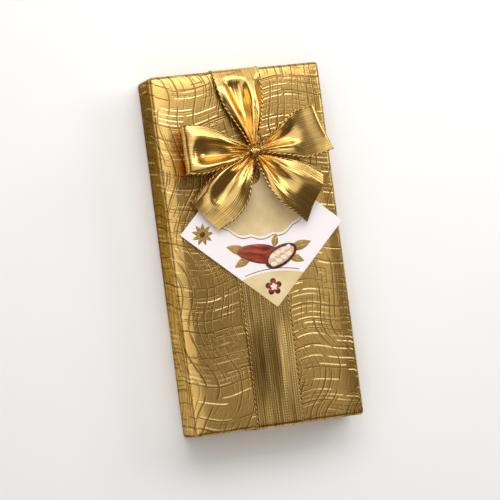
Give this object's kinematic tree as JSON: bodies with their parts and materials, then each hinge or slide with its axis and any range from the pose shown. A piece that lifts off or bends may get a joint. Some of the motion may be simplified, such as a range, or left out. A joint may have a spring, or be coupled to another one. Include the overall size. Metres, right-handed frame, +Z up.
{
  "type": "chocolate gift box",
  "caption": "Flat rectangular gift box of pralines: lift-off lid over a base with a pocketed tray, gold embossed paper, a gold ribbon with a bow, and a card label hung on the ribbon.",
  "frame": {"origin": "middle of the base's underside, which lies on the table", "axes": "+Z up out of the lid, +Y along the box towards the end with the bow, +X across it"},
  "size_m": [0.117, 0.2354, 0.0535],
  "materials": {
    "gold_paper": "satin",
    "gold_ribbon": "satin",
    "greyboard": "matte",
    "tray_plastic": "gloss",
    "crepe_pad": "matte",
    "label_card": "satin",
    "dark_chocolate": "satin",
    "milk_chocolate": "satin",
    "white_chocolate": "satin"
  },
  "bodies": {
    "base": {"base_board": "greyboard", "base_paper": "gold_paper", "praline_tray": "tray_plastic", "praline_dome_1": "dark_chocolate", "praline_dome_2": "dark_chocolate", "praline_dome_3": "dark_chocolate", "praline_oval_1": "milk_chocolate", "praline_oval_2": "milk_chocolate", "praline_oval_3": "milk_chocolate", "praline_shell_1": "white_chocolate", "praline_shell_2": "white_chocolate", "praline_shell_3": "white_chocolate", "praline_square_1": "dark_chocolate", "praline_square_2": "dark_chocolate", "praline_square_3": "dark_chocolate", "praline_rosette_1": "milk_chocolate", "praline_rosette_2": "milk_chocolate", "praline_rosette_3": "milk_chocolate", "praline_log_1": "dark_chocolate", "praline_log_2": "dark_chocolate", "praline_log_3": "dark_chocolate"},
    "lid": {"lid_board": "greyboard", "lid_paper": "gold_paper", "lid_cushion": "crepe_pad", "ribbon_upper_run": "gold_ribbon", "ribbon_lower_run": "gold_ribbon", "bow_loop_left": "gold_ribbon", "bow_loop_right": "gold_ribbon", "bow_tail_left": "gold_ribbon", "bow_tail_right": "gold_ribbon", "bow_knot": "gold_ribbon"},
    "label": {"label_card": "label_card"}
  },
  "joints": [
    {"name": "lid_lift", "type": "slide", "parent": "base", "child": "lid", "axis": [0, 0, 1], "range_m": [0, 0.08]},
    {"name": "label_swing", "type": "hinge", "parent": "lid", "child": "label", "pos_m": [0.0007, 0.0475, 0.0323], "axis": [0, 0, 1], "range_deg": [-15, 15]}
  ]
}
